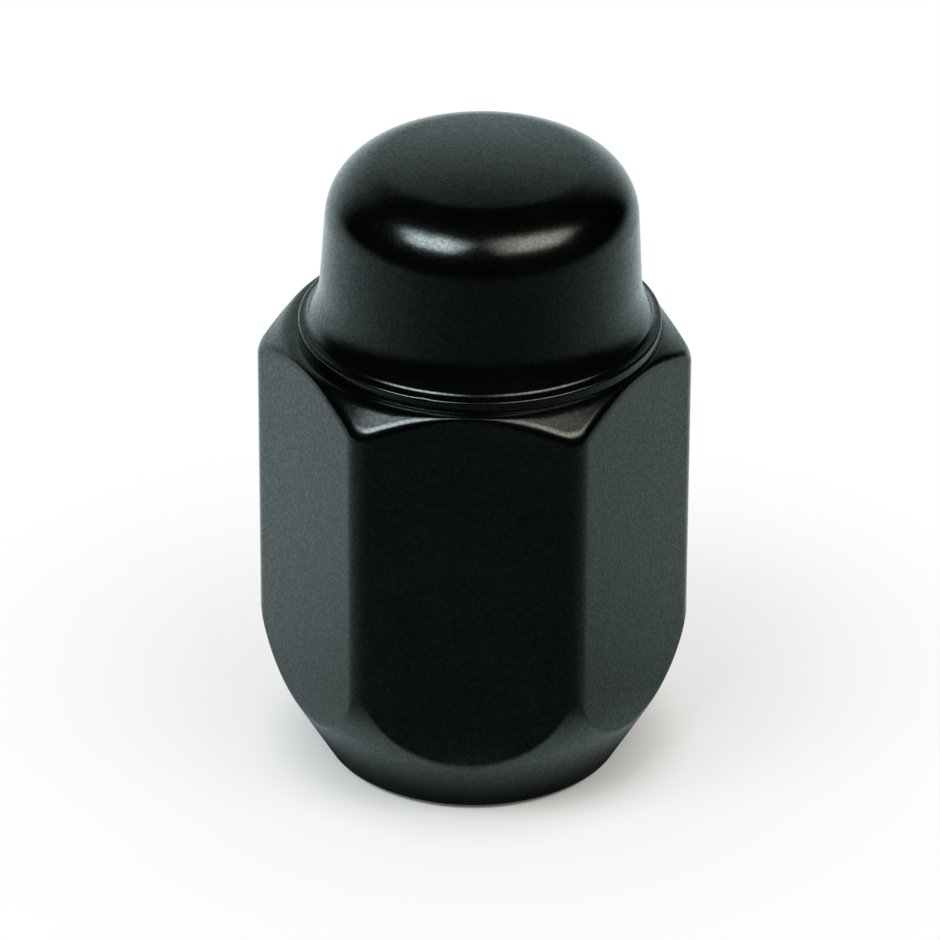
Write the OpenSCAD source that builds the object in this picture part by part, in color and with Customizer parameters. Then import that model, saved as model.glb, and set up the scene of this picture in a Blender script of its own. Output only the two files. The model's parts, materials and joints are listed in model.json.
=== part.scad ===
// Closed-end wheel nut: a hexagon on a conical seat, with a domed crown over a blind thread.
// The nut stands on its seat end, with the thread's axis on +Z and one flat facing -Y.

/* [Hexagon] */
// Width across the flats
across_flats = 20.6; // [19:0.1:23]
// Height of the hexagon's level top
hexagon_h = 25.5; // [20:0.1:30]
// Rounding of the six upright corners
corner_r = 1.5; // [0.4:0.1:2.5]
// Slope of the top chamfer from level, in degrees
chamfer_angle = 40; // [20:1:50]
// How far the chamfer's upper circle stands in from the flats
chamfer_inset = 0.15; // [0:0.05:0.4]

/* [Seat] */
// Included angle of the conical seat, in degrees
seat_angle = 60; // [50:1:70]
// Diameter of the seat's small end, measured at the sharp corner
seat_end_d = 16; // [15:0.1:18]
// Rounding of the seat's small end
seat_edge_r = 0.4; // [0.1:0.05:0.8]
// How far the radius of the round heel above the seat is larger than the hexagon's corners
heel_margin = 0.15; // [0.05:0.05:1]

/* [Collar] */
// How far the collar's wall stands in from the flats
collar_inset = 0.55; // [0.45:0.05:1.2]
// Height of the collar above the hexagon's top
collar_h = 0.65; // [0.4:0.05:1.5]
// Rounding of the collar's upper edge
collar_edge_r = 0.15; // [0.1:0.05:0.35]
// Width of the level ledge on top of the collar
ledge_w = 0.45; // [0.4:0.05:0.7]

/* [Crown] */
// How far the crown's wall, carried down to the ledge, stands in from the collar's wall
crown_inset = 1; // [0.8:0.05:2]
// Height of the crown above the ledge
crown_h = 9.6; // [7:0.1:14]
// Draft of the crown's wall, in degrees
crown_draft = 3.6; // [0:0.1:8]
// Radius between the crown's wall and its top
shoulder_r = 3.6; // [1:0.1:4.5]
// Radius of the slight dome on top
dome_r = 46; // [15:1:120]
// Radius of the hollow flare at the crown's foot
flare_r = 2; // [1.4:0.1:3]
// Sideways shift between the crown's die and the hexagon's die
crown_shift = 0.3; // [0:0.05:0.5]

/* [Thread] */
// Nominal diameter of the metric thread
thread_d = 12; // [10:1:13]
// Pitch of the thread
thread_pitch = 1.5; // [1:0.25:2]
// Depth of the straight bore from the seat end
bore_depth = 25.5; // [18:0.5:28]
// Angle of the drill's point, in degrees
drill_point = 118; // [90:1:140]
// How far the countersunk mouth is wider than the thread, on the radius
mouth_margin = 0.4; // [0.1:0.05:0.8]

/* [Hidden] */
$fn = 128;
coat = [0.09, 0.1, 0.105];
// How far a cutting or turned form runs past the faces that it shapes
spare = 1;

// Hexagon
flat_r = across_flats / 2;
corner_centre_r = (flat_r - corner_r) / cos(30);

// Seat, from its rounded small end up the cone
seat_half = seat_angle / 2;
seat_end_r = seat_end_d / 2;
seat_edge_run = seat_edge_r * tan((90 - seat_half) / 2);

// Heel: a round form centred on the axis, which touches the cone and takes the hexagon's corners off
turned_r = corner_centre_r + corner_r + heel_margin / 2;
heel_r = turned_r + heel_margin / 2;
heel_centre = [0, (heel_r - seat_end_r * cos(seat_half)) / sin(seat_half)];
heel_touch = heel_centre + heel_r * [cos(seat_half), -sin(seat_half)];

// Chamfer, carried out to the turned form's full radius
chamfer_r = flat_r - chamfer_inset;
chamfer_low = hexagon_h - (turned_r - chamfer_r) * tan(chamfer_angle);

// Collar
collar_r = flat_r - collar_inset;
collar_top = hexagon_h + collar_h;
collar_wall = collar_top - chamfer_low;

// Crown: the shoulder's centre lies one shoulder radius inside the drafted wall and inside the dome,
// so it is where the wall's inner parallel meets a circle about the dome's centre
crown_r = collar_r - crown_inset;
crown_top = collar_top + crown_h;
dome_z = crown_top - dome_r;
slope = tan(crown_draft);
parallel_r = crown_r - (dome_z - collar_top) * slope - shoulder_r / cos(crown_draft);
reach = dome_r - shoulder_r;
square_term = 1 + pow(slope, 2);
cross_term = parallel_r * slope;
end_term = pow(parallel_r, 2) - pow(reach, 2);
shoulder_up = (cross_term + sqrt(pow(cross_term, 2) - square_term * end_term)) / square_term;
shoulder_centre = [parallel_r - shoulder_up * slope, dome_z + shoulder_up];
wall_end = shoulder_centre + shoulder_r * [cos(crown_draft), sin(crown_draft)];
dome_end = [0, dome_z] + [shoulder_centre[0], shoulder_up] * (dome_r + spare) / reach;

// Flare at the crown's foot: an arc that touches the drafted wall and meets the ledge at its inner edge
ledge_end = [collar_r - ledge_w, collar_top];
flare_gap = crown_r + flare_r / cos(crown_draft) - ledge_end[0];
flare_cross = flare_gap * slope;
flare_term = pow(flare_gap, 2) - pow(flare_r, 2);
flare_up = (flare_cross + sqrt(pow(flare_cross, 2) - square_term * flare_term)) / square_term;
flare_centre = ledge_end + [flare_gap - flare_up * slope, flare_up];
flare_touch = flare_centre - flare_r * [cos(crown_draft), sin(crown_draft)];

// Thread: each side is five eighths of the sharp form's height deep, which leaves the minor diameter
thread_side = 5 / 8 * cos(30) * thread_pitch;
minor_d = thread_d - 2 * thread_side;
mouth_d = thread_d + 2 * mouth_margin;
drill_tip_h = minor_d / 2 / tan(drill_point / 2);

// Hexagon with rounded corners: straight sides between six corner circles
module hexagon() {
    polygon([for (i = [0:5], side = [-30, 30])
        corner_centre_r * [cos(60 * i), sin(60 * i)] + corner_r * [cos(60 * i + side), sin(60 * i + side)]]);
    for (i = [0:5])
        rotate(60 * i) translate([corner_centre_r, 0]) circle(corner_r);
}

// Half section of the turned form: rounded seat end, cone, heel, chamfer and level top
module turned_section() {
    polygon([
        [0, 0],
        [seat_end_r - seat_edge_run, 0],
        [seat_end_r - seat_edge_run, seat_edge_r],
        [seat_end_r + seat_edge_run * sin(seat_half), seat_edge_run * cos(seat_half)],
        heel_touch,
        [heel_touch[0], heel_centre[1]],
        [turned_r, heel_centre[1]],
        [turned_r, chamfer_low],
        [chamfer_r, hexagon_h],
        [0, hexagon_h]
    ]);
    translate([seat_end_r - seat_edge_run, seat_edge_r]) circle(seat_edge_r);
    intersection() {
        translate(heel_centre) circle(heel_r);
        polygon([heel_centre, 2 * heel_touch - heel_centre, heel_centre + heel_r * [2, 1]]);
    }
}

// Half section of the collar, rooted inside the hexagon, with a rounded upper edge
module collar_section() {
    translate([0, chamfer_low]) {
        square([collar_r, collar_wall - collar_edge_r]);
        square([collar_r - collar_edge_r, collar_wall]);
        translate([collar_r, collar_wall] - collar_edge_r * [1, 1]) circle(collar_edge_r);
    }
}

// Half section of the crown: flare at the foot, drafted wall, shoulder and dome
module crown_section() {
    difference() {
        polygon([
            [0, chamfer_low],
            [ledge_end[0], chamfer_low],
            ledge_end,
            flare_touch,
            wall_end,
            shoulder_centre,
            [0, shoulder_centre[1]]
        ]);
        translate(flare_centre) circle(flare_r);
    }
    translate(shoulder_centre) circle(shoulder_r);
    intersection() {
        translate([0, dome_z]) circle(dome_r);
        polygon([
            [0, chamfer_low],
            [shoulder_centre[0], chamfer_low],
            shoulder_centre,
            dome_end,
            [0, crown_top + spare]
        ]);
    }
}

// Blind bore at the thread's minor diameter, with a drilled end and a countersunk mouth
module bore() {
    translate([0, 0, -spare]) cylinder(d = minor_d, h = bore_depth + spare);
    translate([0, 0, bore_depth]) cylinder(d1 = minor_d, d2 = 0, h = drill_tip_h);
    translate([0, 0, -spare])
        cylinder(d1 = mouth_d + 2 * spare, d2 = minor_d, h = (mouth_d - minor_d) / 2 + spare);
}

// The whole nut is one forging
module lug_nut() {
    color(coat) difference() {
        union() {
            intersection() {
                linear_extrude(hexagon_h + spare) hexagon();
                rotate_extrude() turned_section();
            }
            translate([crown_shift, 0, 0]) rotate_extrude() {
                collar_section();
                crown_section();
            }
        }
        bore();
    }
}

lug_nut();
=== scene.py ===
"""Looks of a closed-end wheel nut in a satin black coat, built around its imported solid.

The nut is one closed mesh. Its outside is a path of corners that every azimuth follows, each corner
rounded by its own run, so the edges between seat, hexagon, chamfer, collar and crown are true roundings.
Its inside is a blind bore with a cut thread. Lengths are in metres, and sizes given in millimetres are
multiplied by MM.
"""

from __future__ import annotations

import json
import logging
import math
from dataclasses import dataclass
from enum import Enum
from typing import Any, Optional, Union

import bpy
import numpy as np
from mathutils import Matrix, Vector

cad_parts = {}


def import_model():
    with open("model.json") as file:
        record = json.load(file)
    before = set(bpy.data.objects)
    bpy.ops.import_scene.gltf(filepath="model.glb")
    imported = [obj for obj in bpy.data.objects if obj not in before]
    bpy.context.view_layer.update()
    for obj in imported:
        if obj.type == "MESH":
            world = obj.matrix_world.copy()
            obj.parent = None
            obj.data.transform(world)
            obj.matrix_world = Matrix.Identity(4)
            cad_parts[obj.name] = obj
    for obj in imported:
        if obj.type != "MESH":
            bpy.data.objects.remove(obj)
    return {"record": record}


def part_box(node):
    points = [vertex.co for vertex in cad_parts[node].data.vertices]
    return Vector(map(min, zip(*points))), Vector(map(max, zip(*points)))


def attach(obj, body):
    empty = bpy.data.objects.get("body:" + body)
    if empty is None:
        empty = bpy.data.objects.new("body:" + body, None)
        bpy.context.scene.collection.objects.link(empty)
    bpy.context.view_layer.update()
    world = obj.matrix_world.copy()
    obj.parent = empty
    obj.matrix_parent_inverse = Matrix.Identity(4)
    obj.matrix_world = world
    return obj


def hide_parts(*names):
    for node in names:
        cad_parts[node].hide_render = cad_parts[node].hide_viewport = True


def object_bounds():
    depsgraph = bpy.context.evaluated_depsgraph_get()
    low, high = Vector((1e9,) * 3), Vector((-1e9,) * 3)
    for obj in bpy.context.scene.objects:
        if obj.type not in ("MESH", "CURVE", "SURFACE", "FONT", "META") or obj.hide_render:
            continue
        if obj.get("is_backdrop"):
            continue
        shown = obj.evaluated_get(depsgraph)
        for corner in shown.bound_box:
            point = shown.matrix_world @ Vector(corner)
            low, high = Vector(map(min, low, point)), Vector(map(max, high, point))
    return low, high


LOG = logging.getLogger("wheel_nut")
MM = 0.001
NODE = "lug_nut"
THREAD_MOUNT = "stud_thread"

Ring = np.ndarray
Lengths = Union[float, np.ndarray]
Number = Union[int, float]
Colour = tuple[float, float, float]


class Ray(Enum):
    """Kinds of ray that the Light Path node tells apart."""

    CAMERA = "Is Camera Ray"
    GLOSSY = "Is Glossy Ray"
    TRANSMISSION = "Is Transmission Ray"


class Signal:
    """A node's output that takes part in arithmetic, adding one Math node for each operation."""

    def __init__(self, graph: "NodeGraph", socket: bpy.types.NodeSocket) -> None:
        """Keep the graph and the socket that this signal comes from."""
        self.graph = graph
        self.socket = socket

    def _math(self, operation: str, first: "Operand", second: "Operand") -> "Signal":
        """Add a Math node.

        Args:
            operation: The Math node's operation.
            first: Its first operand, a number or a signal.
            second: Its second operand, a number or a signal.

        Returns:
            The node's result.
        """
        node = self.graph.add("ShaderNodeMath", {"operation": operation}, {0: first, 1: second})
        return self.graph.read(node)

    def __add__(self, other: "Operand") -> "Signal":
        """This signal plus another."""
        return self._math("ADD", self, other)

    def __radd__(self, other: Number) -> "Signal":
        """A number plus this signal."""
        return self._math("ADD", other, self)

    def __sub__(self, other: "Operand") -> "Signal":
        """This signal less another."""
        return self._math("SUBTRACT", self, other)

    def __rsub__(self, other: Number) -> "Signal":
        """A number less this signal."""
        return self._math("SUBTRACT", other, self)

    def __mul__(self, other: "Operand") -> "Signal":
        """This signal times another."""
        return self._math("MULTIPLY", self, other)

    def __rmul__(self, other: Number) -> "Signal":
        """A number times this signal."""
        return self._math("MULTIPLY", other, self)

    def __pow__(self, other: "Operand") -> "Signal":
        """This signal to a power."""
        return self._math("POWER", self, other)

    def __or__(self, other: "Operand") -> "Signal":
        """The larger of this signal and another."""
        return self._math("MAXIMUM", self, other)

    def rise(self, low: float, high: float) -> "Signal":
        """Smooth step of this signal.

        Args:
            low: Value at and below which the step is 0.
            high: Value at and above which the step is 1.

        Returns:
            The step, from 0 to 1.
        """
        settings = {"interpolation_type": "SMOOTHSTEP"}
        node = self.graph.add(
            "ShaderNodeMapRange", settings, {"Value": self, "From Min": low, "From Max": high}
        )
        return self.graph.read(node, "Result")


Operand = Union[Number, Signal]


class NodeGraph:
    """The nodes of one material or of the world."""

    def __init__(self, owner: Union[bpy.types.Material, bpy.types.World]) -> None:
        """Empty the owner's node tree and keep it."""
        owner.use_nodes = True
        self.tree = owner.node_tree
        self.tree.nodes.clear()

    def add(
        self, kind: str, settings: Optional[dict[str, Any]] = None, sockets: Optional[dict[Any, Any]] = None
    ) -> bpy.types.Node:
        """Add a node of any type.

        Args:
            kind: The node's type, such as ShaderNodeTexNoise.
            settings: The node's own settings, set first.
            sockets: Value, signal or socket for each input, by name or number.

        Returns:
            The new node.
        """
        node = self.tree.nodes.new(kind)
        for name, value in (settings or {}).items():
            setattr(node, name, value)
        for name, value in (sockets or {}).items():
            source = value.socket if isinstance(value, Signal) else value
            if isinstance(source, bpy.types.NodeSocket):
                self.tree.links.new(source, node.inputs[name])
            else:
                node.inputs[name].default_value = value
        return node

    def read(self, node: bpy.types.Node, output: Union[int, str] = 0) -> Signal:
        """One output of a node as a signal."""
        return Signal(self, node.outputs[output])

    def place(self) -> bpy.types.NodeSocket:
        """The object's own coordinates, in metres."""
        return self.add("ShaderNodeTexCoord").outputs["Object"]

    def vector(self, operation: str, first: Any, second: Any = None) -> bpy.types.Node:
        """Add a Vector Math node.

        Args:
            operation: The node's operation.
            first: Its first vector, as numbers or a socket.
            second: Its second vector, where the operation takes one.

        Returns:
            The new node.
        """
        sockets = {0: first} if second is None else {0: first, 1: second}
        return self.add("ShaderNodeVectorMath", {"operation": operation}, sockets)

    def mix(self, share: Operand, first: bpy.types.Node, second: bpy.types.Node) -> bpy.types.Node:
        """Mix of two shaders.

        Args:
            share: Share of the second shader.
            first: The first shader's node.
            second: The second shader's node.

        Returns:
            The mixed shader's node.
        """
        return self.add("ShaderNodeMixShader", None, {0: share, 1: first.outputs[0], 2: second.outputs[0]})

    def noise(self, size: float, detail: float) -> Signal:
        """Noise over the object.

        Args:
            size: Width of a typical grain, in metres.
            detail: Number of finer layers.

        Returns:
            The noise, around 0.5.
        """
        sockets = {"Vector": self.place(), "Scale": 1 / size, "Detail": detail}
        return self.read(self.add("ShaderNodeTexNoise", None, sockets), "Fac")

    def blend(self, share: Operand, first: Any, second: Any) -> bpy.types.NodeSocket:
        """Mix of two colours.

        Args:
            share: Share of the second colour.
            first: The first colour, as numbers or a socket.
            second: The second colour, as numbers or a socket.

        Returns:
            The mixed colour's socket.
        """
        settings = {"data_type": "RGBA"}
        node = self.add("ShaderNodeMix", settings, {"Factor": share, 6: first, 7: second})
        return node.outputs[2]

    def rays(self, *kinds: Ray) -> Signal:
        """1 for the named kinds of ray, and 0 for the rest."""
        path = self.add("ShaderNodeLightPath")
        total = self.read(path, kinds[0].value)
        for kind in kinds[1:]:
            total = total | self.read(path, kind.value)
        return total

    def finish_surface(self, shader: bpy.types.Node, output: str = "ShaderNodeOutputMaterial") -> None:
        """Lead a shader to the graph's output."""
        self.add(output, None, {"Surface": shader.outputs[0]})


def rgba(colour: Colour) -> tuple[float, float, float, float]:
    """A colour with full cover."""
    return (*colour, 1.0)


@dataclass(frozen=True)
class BlackCoat:
    """Satin black coat on steel: a dark film with a fine orange peel and small changes of gloss."""

    film: Colour = (0.0004, 0.0006, 0.0007)
    thin_film: Colour = (0.0010, 0.0013, 0.0014)
    thin_span: tuple[float, float] = (0.38, 0.66)
    thin_by_cloud: float = 0.6
    gloss_roughness: float = 0.17
    roughness_spread: float = 0.07
    refraction: float = 1.5
    reflection_tint: Colour = (0.88, 1.0, 1.0)
    peel_size: float = 0.42 * MM
    peel_height: float = 0.0009 * MM
    grain_size: float = 0.16 * MM
    grain_height: float = 0.0006 * MM
    speckle: float = 0.45
    speckle_span: tuple[float, float] = (0.40, 0.64)
    cloud_size: float = 4.0 * MM
    dent_size: float = 1.3 * MM
    dent_height: float = 0.012 * MM

    def material(self, name: str) -> bpy.types.Material:
        """Build the coat's material.

        Args:
            name: Name of the material.

        Returns:
            The material.
        """
        made = bpy.data.materials.new(name)
        graph = NodeGraph(made)
        cloud = graph.noise(self.cloud_size, detail=3.0)
        grain = graph.noise(self.grain_size, detail=1.0)
        peel = graph.noise(self.peel_size, detail=2.0)
        dent = graph.noise(self.dent_size, detail=1.0)
        thin = (cloud * self.thin_by_cloud + grain * (1 - self.thin_by_cloud)).rise(*self.thin_span)
        colour = graph.blend(thin, rgba(self.film), rgba(self.thin_film))
        gloss = self.gloss_roughness + (cloud * 0.5 + grain * 0.5 - 0.5) * (2 * self.roughness_spread)
        relief = peel * self.peel_height + grain * self.grain_height + dent * self.dent_height
        bump = graph.add("ShaderNodeBump", None, {"Strength": 1.0, "Distance": 1.0, "Height": relief})
        shader = graph.add(
            "ShaderNodeBsdfPrincipled",
            None,
            {
                "Base Color": colour,
                "Roughness": gloss,
                "IOR": self.refraction,
                "Coat Weight": grain.rise(*self.speckle_span) * self.speckle,
                "Coat Roughness": self.gloss_roughness,
                "Specular Tint": rgba(self.reflection_tint),
                "Normal": bump.outputs["Normal"],
            },
        )
        graph.finish_surface(shader)
        return made


@dataclass(frozen=True)
class PaleFloor:
    """White paper that keeps the nut's shadow close by and runs into a white background further out."""

    paper: Colour = (0.75, 0.75, 0.75)
    white: Colour = (1.0, 1.0, 1.0)
    shadow_share: float = 0.45
    contact_share: float = 0.45
    contact_near: float = 8 * MM
    contact_far: float = 13 * MM
    shadow_near: float = 12 * MM
    shadow_far: float = 38 * MM

    def material(self, name: str) -> bpy.types.Material:
        """Build the floor's material, which can't be seen from below.

        Args:
            name: Name of the material.

        Returns:
            The material.
        """
        made = bpy.data.materials.new(name)
        graph = NodeGraph(made)
        out = graph.read(graph.vector("LENGTH", graph.place()), "Value")
        far = out.rise(self.shadow_near, self.shadow_far)
        contact = 1 - out.rise(self.contact_near, self.contact_far)
        seen = graph.rays(Ray.CAMERA, Ray.GLOSSY, Ray.TRANSMISSION)
        paper = graph.add("ShaderNodeBsdfDiffuse", None, {"Color": rgba(self.paper)})
        glow = graph.add("ShaderNodeEmission", None, {"Color": rgba(self.white), "Strength": 1.0})
        shadow = (1 - far) * (self.shadow_share + contact * self.contact_share)
        upper_side = graph.mix(seen * (1 - shadow), paper, glow)
        from_below = graph.read(graph.add("ShaderNodeNewGeometry"), "Backfacing")
        clear = graph.add("ShaderNodeBsdfTransparent")
        graph.finish_surface(graph.mix(from_below, upper_side, clear))
        return made


@dataclass(frozen=True)
class PaintedReflectionShade:
    """Painted reflections, seen only by glossy rays: a black cover that paints what the nut reflects dark,
    densest in front and overhead and thinnest at the back, with its own level close round the nut's foot,
    and a cyan tint where it lets the white background through.
    """

    # Painted dark reflection: the black shown in place of the surroundings where the cover is dense.
    cloth: Colour = (0.0, 0.0, 0.0)
    front_clear: float = 0.08
    side_power: float = 1.4
    window_edge: float = 0.50
    window_full: float = 0.95
    height_power: float = 1.3
    dark_from: float = 0.45
    dark_to: float = 0.80
    turn: float = math.radians(9)
    horizon: tuple[float, float] = (-0.12, 0.0)
    # Painted cyan tint on the white background as the coat reflects it.
    tint: Colour = (0.80, 0.97, 0.98)
    # Painted shade in reflections by the nut's foot: the see-through share goes from foot_low close to the
    # axis up to foot_high further out.
    foot_low: float = 0.06
    foot_high: float = 0.62
    foot_inner: tuple[float, float] = (8.2 * MM, 10.8 * MM)
    foot_outer: tuple[float, float] = (12 * MM, 18 * MM)

    def material(self, name: str) -> bpy.types.Material:
        """Build the material of the painted reflections, which follows the direction from the hood's
        middle.

        Args:
            name: Name of the material.

        Returns:
            The material.
        """
        made = bpy.data.materials.new(name)
        graph = NodeGraph(made)
        level = graph.vector("MULTIPLY", graph.place(), (1, 1, 0)).outputs[0]
        out = graph.read(graph.vector("LENGTH", level), "Value")
        way = graph.vector("NORMALIZE", level).outputs[0]
        rise = graph.vector("NORMALIZE", graph.place())
        thinnest = (-math.sin(self.turn), math.cos(self.turn), 0.0)
        dot = graph.read(graph.vector("DOT_PRODUCT", way, thinnest), "Value")
        back = (dot * 0.5 + 0.5) ** self.side_power
        height = graph.read(graph.add("ShaderNodeSeparateXYZ", None, {0: rise.outputs[0]}), "Z")
        up = height | 0.0
        below = 1 - height.rise(*self.horizon)
        over_floor = back + self.front_clear * (1 - back)
        overhead = (1 - up) ** self.height_power * (1 - up.rise(self.dark_from, self.dark_to))
        window = dot.rise(self.window_edge, self.window_full) * overhead
        clear = window + (over_floor - window) * below
        # Painted shade in the reflections close round the nut's foot.
        by_the_foot = self.foot_low + out.rise(*self.foot_inner) * (self.foot_high - self.foot_low)
        near_foot = (1 - out.rise(*self.foot_outer)) * below
        cover = 1 - (clear + (by_the_foot - clear) * near_foot)
        # Painted dark reflections mixed with a see-through part that tints the reflected background.
        cloth = graph.add("ShaderNodeEmission", None, {"Color": rgba(self.cloth), "Strength": 0.0})
        open_air = graph.add("ShaderNodeBsdfTransparent", None, {"Color": rgba(self.tint)})
        graph.finish_surface(graph.mix(cover, open_air, cloth))
        return made


@dataclass(frozen=True)
class SoftboxCloth:
    """Lit cloth of a softbox, brightest round its middle and fading towards its edges."""

    radiance: float
    tint: Colour
    core: tuple[float, float]
    half: tuple[float, float]
    unlit: Colour = (0.0, 0.0, 0.0)

    def material(self, name: str) -> bpy.types.Material:
        """Build the cloth's material.

        Args:
            name: Name of the material.

        Returns:
            The material.
        """
        made = bpy.data.materials.new(name)
        graph = NodeGraph(made)
        parts = graph.add("ShaderNodeSeparateXYZ", None, {0: graph.place()})
        along = graph.read(parts, "X")
        across = graph.read(parts, "Y")
        lit_along = 1 - (along | along * -1).rise(self.core[0], self.half[0])
        lit_across = 1 - (across | across * -1).rise(self.core[1], self.half[1])
        colour = graph.blend(lit_along * lit_across, rgba(self.unlit), rgba(self.tint))
        glow = graph.add("ShaderNodeEmission", None, {"Color": colour, "Strength": self.radiance})
        graph.finish_surface(glow)
        return made


def ring(radius: Lengths, azimuth: np.ndarray, height: Lengths, shift: float = 0.0) -> Ring:
    """Points round an upright axis.

    Args:
        radius: Distance from the axis, one number or one for each azimuth.
        azimuth: Angles round the axis.
        height: Height, one number or one for each azimuth.
        shift: Place of the axis along X.

    Returns:
        One point for each azimuth.
    """
    heights = np.broadcast_to(height, azimuth.shape)
    return np.column_stack([shift + radius * np.cos(azimuth), radius * np.sin(azimuth), heights])


def unit(vectors: np.ndarray) -> np.ndarray:
    """Vectors at length 1."""
    return vectors / np.linalg.norm(vectors, axis=1, keepdims=True)


@dataclass
class Corner:
    """A ring where the section turns, rounded over a run before it and the same or another run after it."""

    at: Ring
    run: Lengths
    steps: int = 6
    run_after: Optional[Lengths] = None

    def runs(self) -> tuple[np.ndarray, np.ndarray]:
        """Lengths of the rounding before and after the corner, for each azimuth."""
        after = self.run if self.run_after is None else self.run_after
        count = len(self.at)
        return np.broadcast_to(self.run, count)[:, None], np.broadcast_to(after, count)[:, None]

    def rounding(self, before: Ring, after: Ring) -> list[Ring]:
        """Rings of the rounding between its two touching points, an exact arc where both runs are the same.

        Args:
            before: The ring that the section comes from.
            after: The ring that the section goes to.

        Returns:
            The rings, in order along the section.
        """
        run_before, run_after = self.runs()
        arrive = unit(self.at - before)
        leave = unit(after - self.at)
        start = self.at - run_before * arrive
        end = self.at + run_after * leave
        turn = np.clip((arrive * leave).sum(1, keepdims=True), -1.0, 1.0)
        pull = np.sqrt((1 + turn) / 2)
        rings = []
        for step in range(self.steps + 1):
            t = step / self.steps
            weights = ((1 - t) ** 2, 2 * t * (1 - t) * pull, t**2)
            total = weights[0] + weights[1] + weights[2]
            rings.append((weights[0] * start + weights[1] * self.at + weights[2] * end) / total)
        return rings


@dataclass
class Curve:
    """A smooth stretch of the section, given ring by ring."""

    rings: list[Ring]


Section = list[Union[Corner, Curve]]


def first_and_last(stretch: Union[Corner, Curve]) -> tuple[Ring, Ring]:
    """The rings at which a stretch of the section starts and ends."""
    if isinstance(stretch, Corner):
        return stretch.at, stretch.at
    return stretch.rings[0], stretch.rings[-1]


def straight(first: Ring, last: Ring, steps: int, guard: float = 0.04 * MM) -> list[Ring]:
    """Rings between two rings, both left out, with a close one at each end that keeps the face flat there.

    Args:
        first: The ring before the stretch.
        last: The ring after the stretch.
        steps: Number of even parts between the close rings.
        guard: Distance of the close rings from the ends.

    Returns:
        The rings, in order.
    """
    length = np.linalg.norm(last - first, axis=1, keepdims=True)
    close = np.minimum(guard, length / 4)
    along = unit(last - first)
    near = first + close * along
    far = last - close * along
    return [near + (far - near) * (step / steps) for step in range(steps + 1)]


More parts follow.
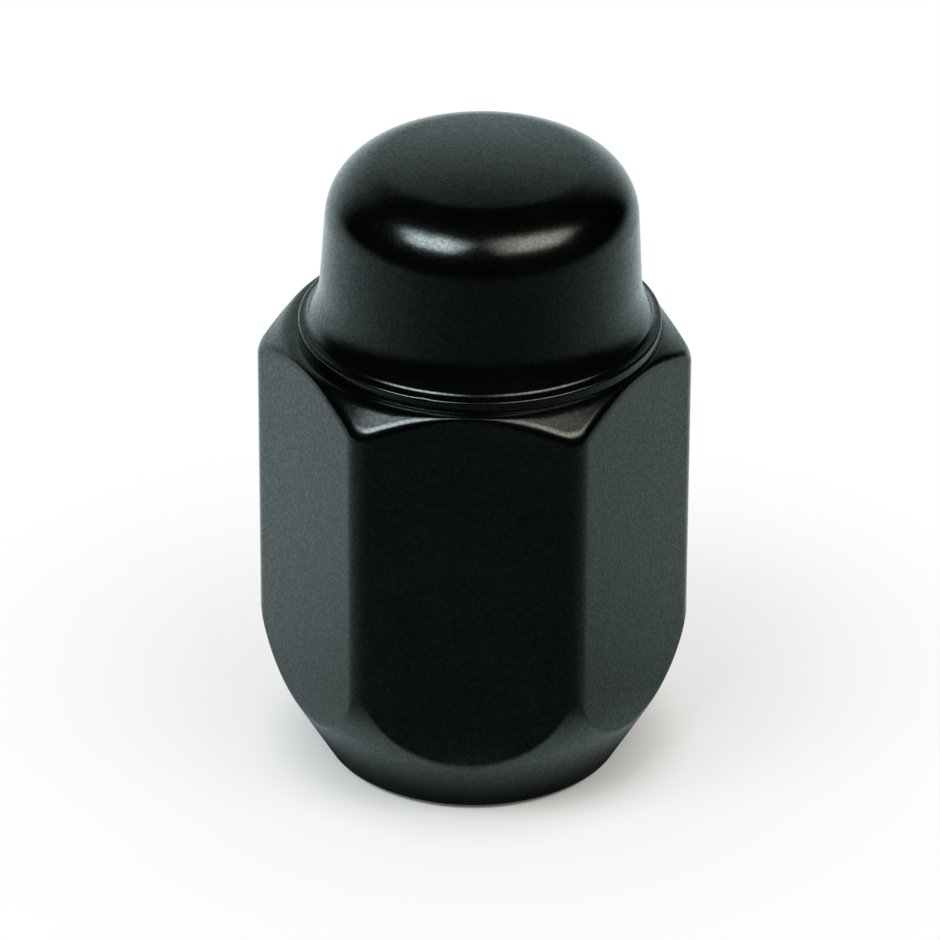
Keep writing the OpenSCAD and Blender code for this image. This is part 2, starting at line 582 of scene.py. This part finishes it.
@dataclass
class HexagonBody:
    """Hexagon on a conical seat, with a chamfer turned on its upper edge."""

    flat_r: float
    corner_r: float = 1.5 * MM
    top: float = 25.5 * MM
    chamfer: float = math.radians(41.5)
    chamfer_inset: float = 0.15 * MM
    level_run: float = 0.46 * MM
    level_share: float = 0.62
    rim_share: float = 0.35
    chamfer_share: float = 0.6
    seat_end_r: float = 8.0 * MM
    seat_half: float = math.radians(30)
    seat_edge_r: float = 0.4 * MM
    heel_margin: float = 0.15 * MM
    heel_run: float = 0.18 * MM
    flat_run: float = 0.36 * MM
    corner_run: float = 0.60 * MM
    corner_run_power: float = 1.5
    corner_columns: int = 20
    flat_columns: int = 46
    heel_steps: int = 10

    @property
    def corner_centre(self) -> float:
        """Distance of a corner's centre of rounding from the axis."""
        return (self.flat_r - self.corner_r) / math.cos(math.pi / 6)

    @property
    def corner_half(self) -> float:
        """Half the azimuth that a rounded corner takes up."""
        across = self.corner_r * math.sin(math.pi / 6)
        along = self.corner_centre + self.corner_r * math.cos(math.pi / 6)
        return math.atan2(across, along)

    def azimuths(self) -> np.ndarray:
        """Azimuths of the mesh's columns, closer together on the corners than on the flats."""
        half = self.corner_half
        corner = np.linspace(-half, half, self.corner_columns, endpoint=False)
        flat = np.linspace(half, math.pi / 3 - half, self.flat_columns, endpoint=False)
        sector = np.concatenate([corner, flat])
        return np.concatenate([sector + k * math.pi / 3 for k in range(6)])

    def from_corner(self, azimuth: np.ndarray) -> np.ndarray:
        """Angle from each azimuth to its nearest corner, from 0 to 30 degrees."""
        sector = math.pi / 3
        return np.abs((azimuth + sector / 2) % sector - sector / 2)

    def reach(self, azimuth: np.ndarray) -> np.ndarray:
        """Distance from the axis to the rounded hexagon.

        Args:
            azimuth: Angles round the axis.

        Returns:
            One distance for each azimuth.
        """
        angle = self.from_corner(azimuth)
        on_flat = self.flat_r / np.cos(math.pi / 6 - angle)
        offset = self.corner_centre * np.sin(angle)
        depth = np.sqrt(np.maximum(self.corner_r**2 - offset**2, 0.0))
        on_corner = self.corner_centre * np.cos(angle) + depth
        return np.where(angle < self.corner_half, on_corner, on_flat)

    @property
    def chamfer_r(self) -> float:
        """Radius of the chamfer's upper circle."""
        return self.flat_r - self.chamfer_inset

    def heel(self, azimuth: np.ndarray, reach: np.ndarray) -> tuple[Curve, Corner]:
        """Round heel above the seat, and the edge in which it meets the hexagon.

        Args:
            azimuth: Azimuths of the mesh's columns.
            reach: The hexagon's distance from the axis at each azimuth.

        Returns:
            The heel's curve and its edge.
        """
        radius = self.corner_centre + self.corner_r + self.heel_margin
        centre_z = (radius - self.seat_end_r * math.cos(self.seat_half)) / math.sin(self.seat_half)
        edge = -np.arccos(reach / radius)
        end = edge - self.heel_run / radius
        rings = []
        for step in range(self.heel_steps + 1):
            angle = -self.seat_half + (end + self.seat_half) * (step / self.heel_steps)
            rings.append(ring(radius * np.cos(angle), azimuth, centre_z + radius * np.sin(angle)))
        return Curve(rings), Corner(ring(reach, azimuth, centre_z + radius * np.sin(edge)), self.heel_run)

    def rim(self, azimuth: np.ndarray) -> Ring:
        """The chamfer's upper circle."""
        return ring(self.chamfer_r, azimuth, self.top)

    def section(self, azimuth: np.ndarray, level_width: np.ndarray) -> Section:
        """The body's section, from the seat's small end up to the chamfer.

        Args:
            azimuth: Azimuths of the mesh's columns.
            level_width: Width of the level top between chamfer and collar, for each azimuth.

        Returns:
            The section's corners and curves, in order.
        """
        reach = self.reach(azimuth)
        level_run = np.minimum(self.level_run, self.level_share * level_width)
        end_run = self.seat_edge_r * math.tan((math.pi / 2 - self.seat_half) / 2)
        near_corner = 1 - self.from_corner(azimuth) / (math.pi / 6)
        flat_run = self.flat_run + (self.corner_run - self.flat_run) * near_corner**self.corner_run_power
        edge_height = self.top - (reach - self.chamfer_r) * math.tan(self.chamfer)
        chamfer_length = (reach - self.chamfer_r) / math.cos(self.chamfer)
        rim_run = np.minimum(self.level_run, self.rim_share * chamfer_length)
        chamfer_run = np.minimum(flat_run, self.chamfer_share * chamfer_length)
        return [
            Corner(ring(self.seat_end_r, azimuth, 0.0), end_run),
            *self.heel(azimuth, reach),
            Corner(ring(reach, azimuth, edge_height), flat_run, steps=10, run_after=chamfer_run),
            Corner(self.rim(azimuth), rim_run, steps=10, run_after=level_run),
        ]


@dataclass
class CrownWithCollar:
    """Low collar with a chip on its front edge, and a domed crown, on an axis beside the hexagon's."""

    collar_r: float
    collar_top: float
    crown_top: float
    shift: float = 0.3 * MM
    collar_edge_r: float = 0.15 * MM
    collar_foot_run: float = 0.012 * MM
    collar_foot_share: float = 0.3
    chip_at: float = math.radians(254)
    chip_half: float = math.radians(1.7)
    chip_depth: float = 0.28 * MM
    crown_inset: float = 1.0 * MM
    ledge_w: float = 0.44 * MM
    ledge_run: float = 0.27 * MM
    flare_slope: float = math.radians(65)
    flare_in: float = 0.9 * MM
    flare_up: float = 0.9 * MM
    lean: float = 0.014
    draft: float = math.radians(3.6)
    shoulder_r: float = 3.4 * MM
    dome_r: float = 46 * MM
    shoulder_steps: int = 26
    dome_steps: int = 12

    @property
    def wall_r(self) -> float:
        """Radius of the crown's wall at the ledge."""
        return self.collar_r - self.crown_inset

    def shoulder_centre(self) -> tuple[float, float]:
        """Radius and height of the shoulder's centre, one shoulder radius inside the wall and the dome."""
        slope = math.tan(self.draft)
        dome_z = self.crown_top - self.dome_r
        parallel = self.wall_r - (dome_z - self.collar_top) * slope - self.shoulder_r / math.cos(self.draft)
        reach = self.dome_r - self.shoulder_r
        square = 1 + slope**2
        cross = parallel * slope
        up = (cross + math.sqrt(cross**2 - square * (parallel**2 - reach**2))) / square
        return parallel - up * slope, dome_z + up

    def shift_at(self, height: float) -> float:
        """Place of the crown's axis along X at a height above the ledge, as the crown leans a little."""
        return self.shift + self.lean * (height - self.collar_top)

    def wall_ring(self, azimuth: np.ndarray, above: float) -> Ring:
        """The crown's wall at a height above the ledge."""
        height = self.collar_top + above
        return ring(self.wall_r - above * math.tan(self.draft), azimuth, height, self.shift_at(height))

    def foot(self, azimuth: np.ndarray, height: float) -> Ring:
        """The collar's foot at a height."""
        return ring(self.collar_r, azimuth, height, self.shift)

    def section(self, azimuth: np.ndarray, foot: Ring, level_width: np.ndarray) -> Section:
        """The section of collar and crown, from the collar's foot to just short of the crown's middle.

        Args:
            azimuth: Azimuths of the mesh's columns.
            foot: The collar's foot, on the hexagon's level top.
            level_width: Width of the level top between chamfer and collar, for each azimuth.

        Returns:
            The section's corners and curves, in order.
        """
        ledge_end = self.collar_r - self.ledge_w
        flare_h = (ledge_end - self.wall_r) / (1 / math.tan(self.flare_slope) - math.tan(self.draft))
        foot_run = np.minimum(self.collar_foot_run, self.collar_foot_share * level_width)
        chip = np.exp(-(((azimuth - self.chip_at) / self.chip_half) ** 2))
        edge_run = self.collar_edge_r + self.chip_depth * chip
        edge = ring(self.collar_r, azimuth, self.collar_top, self.shift)
        return [
            Corner(foot, foot_run),
            Corner(edge, edge_run, steps=8, run_after=self.collar_edge_r),
            Corner(ring(ledge_end, azimuth, self.collar_top, self.shift), self.ledge_run, steps=10),
            Corner(self.wall_ring(azimuth, flare_h), self.flare_in, steps=14, run_after=self.flare_up),
            self.dome(azimuth),
        ]

    def dome(self, azimuth: np.ndarray) -> Curve:
        """Shoulder and dome, from the top of the wall to just short of the middle.

        Args:
            azimuth: Azimuths of the mesh's columns.

        Returns:
            The curve of both.
        """
        centre_r, centre_z = self.shoulder_centre()
        dome_z = self.crown_top - self.dome_r
        meet = math.atan2(centre_z - dome_z, centre_r)
        rings = []
        for angle in np.linspace(self.draft, meet, self.shoulder_steps + 1):
            radius = centre_r + self.shoulder_r * math.cos(angle)
            height = centre_z + self.shoulder_r * math.sin(angle)
            rings.append(ring(radius, azimuth, height, self.shift_at(height)))
        for angle in np.linspace(meet, math.pi / 2, self.dome_steps + 1)[1:-1]:
            radius = self.dome_r * math.cos(angle)
            height = dome_z + self.dome_r * math.sin(angle)
            rings.append(ring(radius, azimuth, height, self.shift_at(height)))
        return Curve(rings)


@dataclass
class BlindThread:
    """Right-hand metric thread in a blind bore, with a countersunk mouth and a drilled end."""

    minor_r: float
    depth: float
    pitch: float = 1.5 * MM
    major_r: float = 6.0 * MM
    mouth_r: float = 6.4 * MM
    drill_half: float = math.radians(59)
    rows_per_pitch: int = 14
    crest_from: float = 0.75
    flank: float = 0.625
    root_softness: float = 0.35
    full_end: float = 2.5
    runout_end: float = 1.0

    @property
    def tip(self) -> float:
        """Height of the drilled end's tip."""
        return self.depth + self.minor_r / math.tan(self.drill_half)

    def wall(self, azimuth: np.ndarray, height: float) -> np.ndarray:
        """Radius of the cut thread.

        Args:
            azimuth: Angles round the axis.
            height: Height above the seat end.

        Returns:
            One radius for each azimuth.
        """
        turn = (height / self.pitch - azimuth / (2 * math.pi)) % 1.0
        from_root = np.abs(turn - 0.5) * 2
        straight_flank = np.clip((self.crest_from - from_root) / self.flank, 0.0, 1.0)
        soft_flank = straight_flank**2 * (3 - 2 * straight_flank)
        groove = straight_flank + (soft_flank - straight_flank) * self.root_softness
        turns_left = (self.depth - height) / self.pitch
        runout = np.clip((turns_left - self.runout_end) / (self.full_end - self.runout_end), 0.0, 1.0)
        cut = self.minor_r + (self.major_r - self.minor_r) * groove * runout
        return np.maximum(cut, self.mouth_r - height)

    def rings(self, azimuth: np.ndarray) -> list[Ring]:
        """Rings of the bore, from the mouth to the end of the straight wall.

        Args:
            azimuth: Azimuths of the bore's columns.

        Returns:
            The rings, in order.
        """
        count = round(self.depth / self.pitch * self.rows_per_pitch)
        heights = np.linspace(0.0, self.depth, count + 1)
        return [ring(self.wall(azimuth, z), azimuth, z) for z in heights]


class MeshMaker:
    """Gathers rings of points and the faces between them into one mesh."""

    def __init__(self) -> None:
        """Start with no points and no faces."""
        self.points: list[np.ndarray] = []
        self.faces: list[tuple[int, ...]] = []
        self.count = 0

    def add_ring(self, points: Ring) -> np.ndarray:
        """Add a ring's points and return their numbers."""
        numbers = np.arange(self.count, self.count + len(points))
        self.points.append(points)
        self.count += len(points)
        return numbers

    def strip(self, lower: np.ndarray, upper: np.ndarray) -> None:
        """Add the quads between two rings, facing outward when the upper ring lies above."""
        lower_next = np.roll(lower, -1)
        upper_next = np.roll(upper, -1)
        quads = np.column_stack([lower, lower_next, upper_next, upper])
        self.faces.extend(map(tuple, quads.tolist()))

    def cap(self, rim: np.ndarray, tip: np.ndarray, upward: bool) -> None:
        """Close a ring with triangles to one point.

        Args:
            rim: Numbers of the ring's points.
            tip: The point, as one row.
            upward: True if the triangles face along the ring's turning sense.
        """
        top = int(self.add_ring(tip)[0])
        for first, second in zip(rim.tolist(), np.roll(rim, -1).tolist()):
            self.faces.append((first, second, top) if upward else (second, first, top))

    def widen(self, inner: np.ndarray, outer: np.ndarray) -> None:
        """Join an inner ring to an outer one with three times its points, facing down."""
        for k, first in enumerate(inner.tolist()):
            second = int(inner[(k + 1) % len(inner)])
            a, b, c = (int(n) for n in outer[3 * k : 3 * k + 3])
            d = int(outer[(3 * k + 3) % len(outer)])
            self.faces.extend([(first, b, a), (first, second, b), (second, c, b), (second, d, c)])

    def build(self, name: str) -> bpy.types.Object:
        """Make the object, smooth shaded.

        Args:
            name: Name of the object.

        Returns:
            The object, linked to the scene.
        """
        mesh = bpy.data.meshes.new(name)
        mesh.from_pydata(np.vstack(self.points).tolist(), [], self.faces)
        mesh.update()
        mesh.shade_smooth()
        made = bpy.data.objects.new(name, mesh)
        bpy.context.scene.collection.objects.link(made)
        return made


@dataclass
class WheelNut:
    """The whole nut: hexagon, crown and thread as one closed mesh under one coat."""

    body: HexagonBody
    crown: CrownWithCollar
    thread: BlindThread
    coat: BlackCoat
    thread_share: int = 3
    straight_steps: int = 3
    joint_gap: float = 0.02 * MM
    mouth_land: float = 0.15 * MM

    def outside(self, azimuth: np.ndarray, rim: Ring) -> list[Ring]:
        """Rings of the outside, from the seat end's flat to just short of the crown's middle.

        Args:
            azimuth: Azimuths of the mesh's columns.
            rim: Ring on the seat end's flat that the section starts from.

        Returns:
            The rings, in order.
        """
        foot = self.crown.foot(azimuth, self.body.top)
        level_width = np.linalg.norm(self.body.rim(azimuth) - foot, axis=1)
        section = self.body.section(azimuth, level_width) + self.crown.section(azimuth, foot, level_width)
        rings = [rim]
        for k, stretch in enumerate(section):
            if isinstance(stretch, Corner):
                before = first_and_last(section[k - 1])[1] if k else rim
                after = first_and_last(section[k + 1])[0]
                added = stretch.rounding(before, after)
            else:
                added = stretch.rings
            gap = np.linalg.norm(added[0] - rings[-1], axis=1).max()
            if gap > self.joint_gap:
                rings.extend(straight(rings[-1], added[0], self.straight_steps))
                rings.extend(added)
            else:
                rings.extend(added[1:])
        return rings

    def build(self, name: str) -> bpy.types.Object:
        """Build the mesh and coat it.

        Args:
            name: Name of the piece.

        Returns:
            The piece.
        """
        azimuth = self.body.azimuths()
        bore_azimuth = azimuth[:: self.thread_share]
        maker = MeshMaker()
        rim = ring(self.thread.mouth_r + self.mouth_land, azimuth, 0.0)
        outside = [maker.add_ring(points) for points in self.outside(azimuth, rim)]
        for lower, upper in zip(outside, outside[1:]):
            maker.strip(lower, upper)
        crown_middle = np.array([[self.crown.shift_at(self.crown.crown_top), 0.0, self.crown.crown_top]])
        maker.cap(outside[-1], crown_middle, True)
        bore = [maker.add_ring(points) for points in self.thread.rings(bore_azimuth)]
        for lower, upper in zip(bore, bore[1:]):
            maker.strip(upper, lower)
        maker.cap(bore[-1], np.array([[0.0, 0.0, self.thread.tip]]), False)
        maker.widen(bore[0], outside[0])
        piece = maker.build(name)
        piece.data.materials.append(self.coat.material("satin_black_coat"))
        LOG.info("%s: %d faces", name, len(piece.data.polygons))
        return piece


@dataclass
class Studio:
    """Pale floor, white background, two softboxes overhead and a dome seen only in reflections, which
    paints the dark parts and tint of what the nut reflects.
    """

    floor: PaleFloor
    reflection_paint: PaintedReflectionShade
    floor_half: float = 3.0
    floor_drop: float = 0.02 * MM
    hood_r: float = 1.2
    hood_middle: float = 18 * MM
    hood_lift: float = 0.3 * MM
    hood_rings: int = 24
    hood_columns: int = 64
    world_level: float = 0.6
    background: Colour = (1.0, 1.0, 1.0)

    def build_world(self) -> None:
        """White background for what the camera and the gloss see, and an even fill for the rest."""
        world = bpy.data.worlds.new("studio")
        bpy.context.scene.world = world
        graph = NodeGraph(world)
        seen = graph.rays(Ray.CAMERA, Ray.GLOSSY, Ray.TRANSMISSION)
        level = self.world_level + seen * (1 - self.world_level)
        sky = graph.add("ShaderNodeBackground", None, {"Color": rgba(self.background), "Strength": level})
        graph.finish_surface(sky, "ShaderNodeOutputWorld")

    def card(self, name: str, corners: list[Vector], material: bpy.types.Material) -> bpy.types.Object:
        """A flat card that isn't part of the nut.

        Args:
            name: Name of the card.
            corners: Its corners, in order.
            material: Its material.

        Returns:
            The card.
        """
        mesh = bpy.data.meshes.new(name)
        mesh.from_pydata([tuple(corner) for corner in corners], [], [tuple(range(len(corners)))])
        mesh.materials.append(material)
        made = bpy.data.objects.new(name, mesh)
        bpy.context.scene.collection.objects.link(made)
        made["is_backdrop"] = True
        LOG.info("%s: stage", name)
        return made

    def build_floor(self) -> None:
        """The pale floor that the nut stands on."""
        half = self.floor_half
        signs = ((-1, -1), (1, -1), (1, 1), (-1, 1))
        corners = [Vector((x * half, y * half, -self.floor_drop)) for x, y in signs]
        self.card("floor", corners, self.floor.material("pale_floor"))

    def reflected_only(self, card: bpy.types.Object) -> None:
        """Let a card show in reflections and nowhere else."""
        card.visible_camera = False
        card.visible_diffuse = False
        card.visible_shadow = False
        card.visible_transmission = False
        card.visible_volume_scatter = False

    def build_painted_reflection_dome(self) -> None:
        """Dome over the stage, seen only in reflections, that carries the painted dark reflections: a disc
        just above the floor, and a dome.
        """
        azimuth = np.linspace(0, 2 * math.pi, self.hood_columns, endpoint=False)
        drop = self.hood_lift - self.hood_middle
        maker = MeshMaker()
        rings = []
        for step in range(1, self.hood_rings):
            rings.append(ring(self.hood_r * (step / self.hood_rings) ** 2, azimuth, drop))
        for angle in np.linspace(0, math.pi / 2, self.hood_rings, endpoint=False):
            rings.append(ring(self.hood_r * math.cos(angle), azimuth, drop + self.hood_r * math.sin(angle)))
        numbers = [maker.add_ring(points) for points in rings]
        for lower, upper in zip(numbers, numbers[1:]):
            maker.strip(lower, upper)
        maker.cap(numbers[0], np.array([[0.0, 0.0, drop]]), False)
        maker.cap(numbers[-1], np.array([[0.0, 0.0, drop + self.hood_r]]), True)
        hood = maker.build("painted_reflection_dome")
        hood.location.z = self.hood_middle
        hood.data.materials.append(self.reflection_paint.material("painted_reflection_dark"))
        hood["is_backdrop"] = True
        # Painted reflections: the dome shows only in what the nut reflects.
        self.reflected_only(hood)

    def softbox(self, name: str, centre: Vector, turn: float, cloth: SoftboxCloth) -> None:
        """A level softbox overhead.

        Args:
            name: Name of the softbox.
            centre: Its centre.
            turn: Angle of its long side from the X axis.
            cloth: Its lit cloth.
        """
        wide, deep = cloth.half
        signs = ((-1, 1), (1, 1), (1, -1), (-1, -1))
        corners = [Vector((x * wide, y * deep, 0.0)) for x, y in signs]
        made = self.card(name, corners, cloth.material(name + "_cloth"))
        made.location = centre
        made.rotation_euler.z = turn

    def build_lamps(self) -> None:
        """A cool softbox on the left and a weaker warm one on the right, both overhead."""
        cool = SoftboxCloth(radiance=11.0, tint=(0.90, 0.97, 1.0), core=(0.10, 0.08), half=(0.30, 0.25))
        warm = SoftboxCloth(radiance=5.4, tint=(1.0, 0.97, 0.82), core=(0.10, 0.08), half=(0.42, 0.27))
        self.softbox("left_softbox", Vector((-0.330, -0.335, 0.5)), math.radians(-35), cool)
        self.softbox("right_softbox", Vector((0.390, -0.300, 0.5)), math.radians(27), warm)


@dataclass
class PhotoCamera:
    """Camera of the photograph, from the measured places of the nut's edges."""

    image_width: int = 940
    focal_pixels: float = 7000.0
    distance: float = 379.3 * MM
    elevation: float = math.radians(29.52)
    azimuth: float = math.radians(1.99)
    roll: float = math.radians(0.20)
    aim_height: float = 17 * MM
    aim_right: float = 0.209 * MM
    aim_up: float = 0.350 * MM
    sensor: float = 36.0
    clip_near: float = 0.01
    clip_far: float = 20.0

    def build(self) -> None:
        """Make the camera and give it to the scene."""
        right = Vector((math.cos(self.azimuth), math.sin(self.azimuth), 0.0))
        level = Vector((-math.sin(self.azimuth), math.cos(self.azimuth), 0.0))
        forward = level * math.cos(self.elevation) - Vector((0, 0, math.sin(self.elevation)))
        up = right.cross(forward)
        aim = Vector((0.0, 0.0, self.aim_height))
        place = aim - right * self.aim_right - up * self.aim_up - forward * self.distance
        turned_right = right * math.cos(self.roll) + up * math.sin(self.roll)
        turned_up = up * math.cos(self.roll) - right * math.sin(self.roll)
        lens = bpy.data.cameras.new("photo_camera")
        lens.sensor_width = self.sensor
        lens.lens = self.focal_pixels * self.sensor / self.image_width
        lens.clip_start = self.clip_near
        lens.clip_end = self.clip_far
        made = bpy.data.objects.new("photo_camera", lens)
        axes = Matrix((turned_right, turned_up, -forward)).transposed().to_4x4()
        made.matrix_world = Matrix.Translation(place) @ axes
        bpy.context.scene.collection.objects.link(made)
        bpy.context.scene.camera = made
        LOG.info("photo_camera: %.0f mm away", self.distance / MM)


def main() -> tuple[Vector, Vector]:
    """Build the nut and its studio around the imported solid.

    Returns:
        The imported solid's box, lowest corner first.
    """
    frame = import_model()
    solid_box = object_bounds()
    low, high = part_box(NODE)
    thread_mount = next(m for m in frame["record"]["mounts"] if m["name"] == THREAD_MOUNT)
    minor_r = thread_mount["dims"]["r_mm"] * MM
    body = HexagonBody(flat_r=(high.y - low.y) / 2)
    collar_inset = 0.55 * MM
    collar_h = 0.65 * MM
    crown = CrownWithCollar(body.flat_r - collar_inset, body.top + collar_h, high.z)
    thread = BlindThread(minor_r=minor_r, depth=25.5 * MM)
    nut = WheelNut(body, crown, thread, BlackCoat()).build("coated_nut")
    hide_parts(NODE)
    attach(nut, "root")
    studio = Studio(PaleFloor(), PaintedReflectionShade())
    studio.build_world()
    studio.build_floor()
    # Painted dark reflections, seen only by glossy rays.
    studio.build_painted_reflection_dome()
    studio.build_lamps()
    PhotoCamera().build()
    bpy.context.scene.view_settings.view_transform = "Standard"
    return solid_box


if __name__ == "__main__":
    logging.basicConfig(level=logging.INFO, format="%(name)s %(message)s")
    cad_box = main()
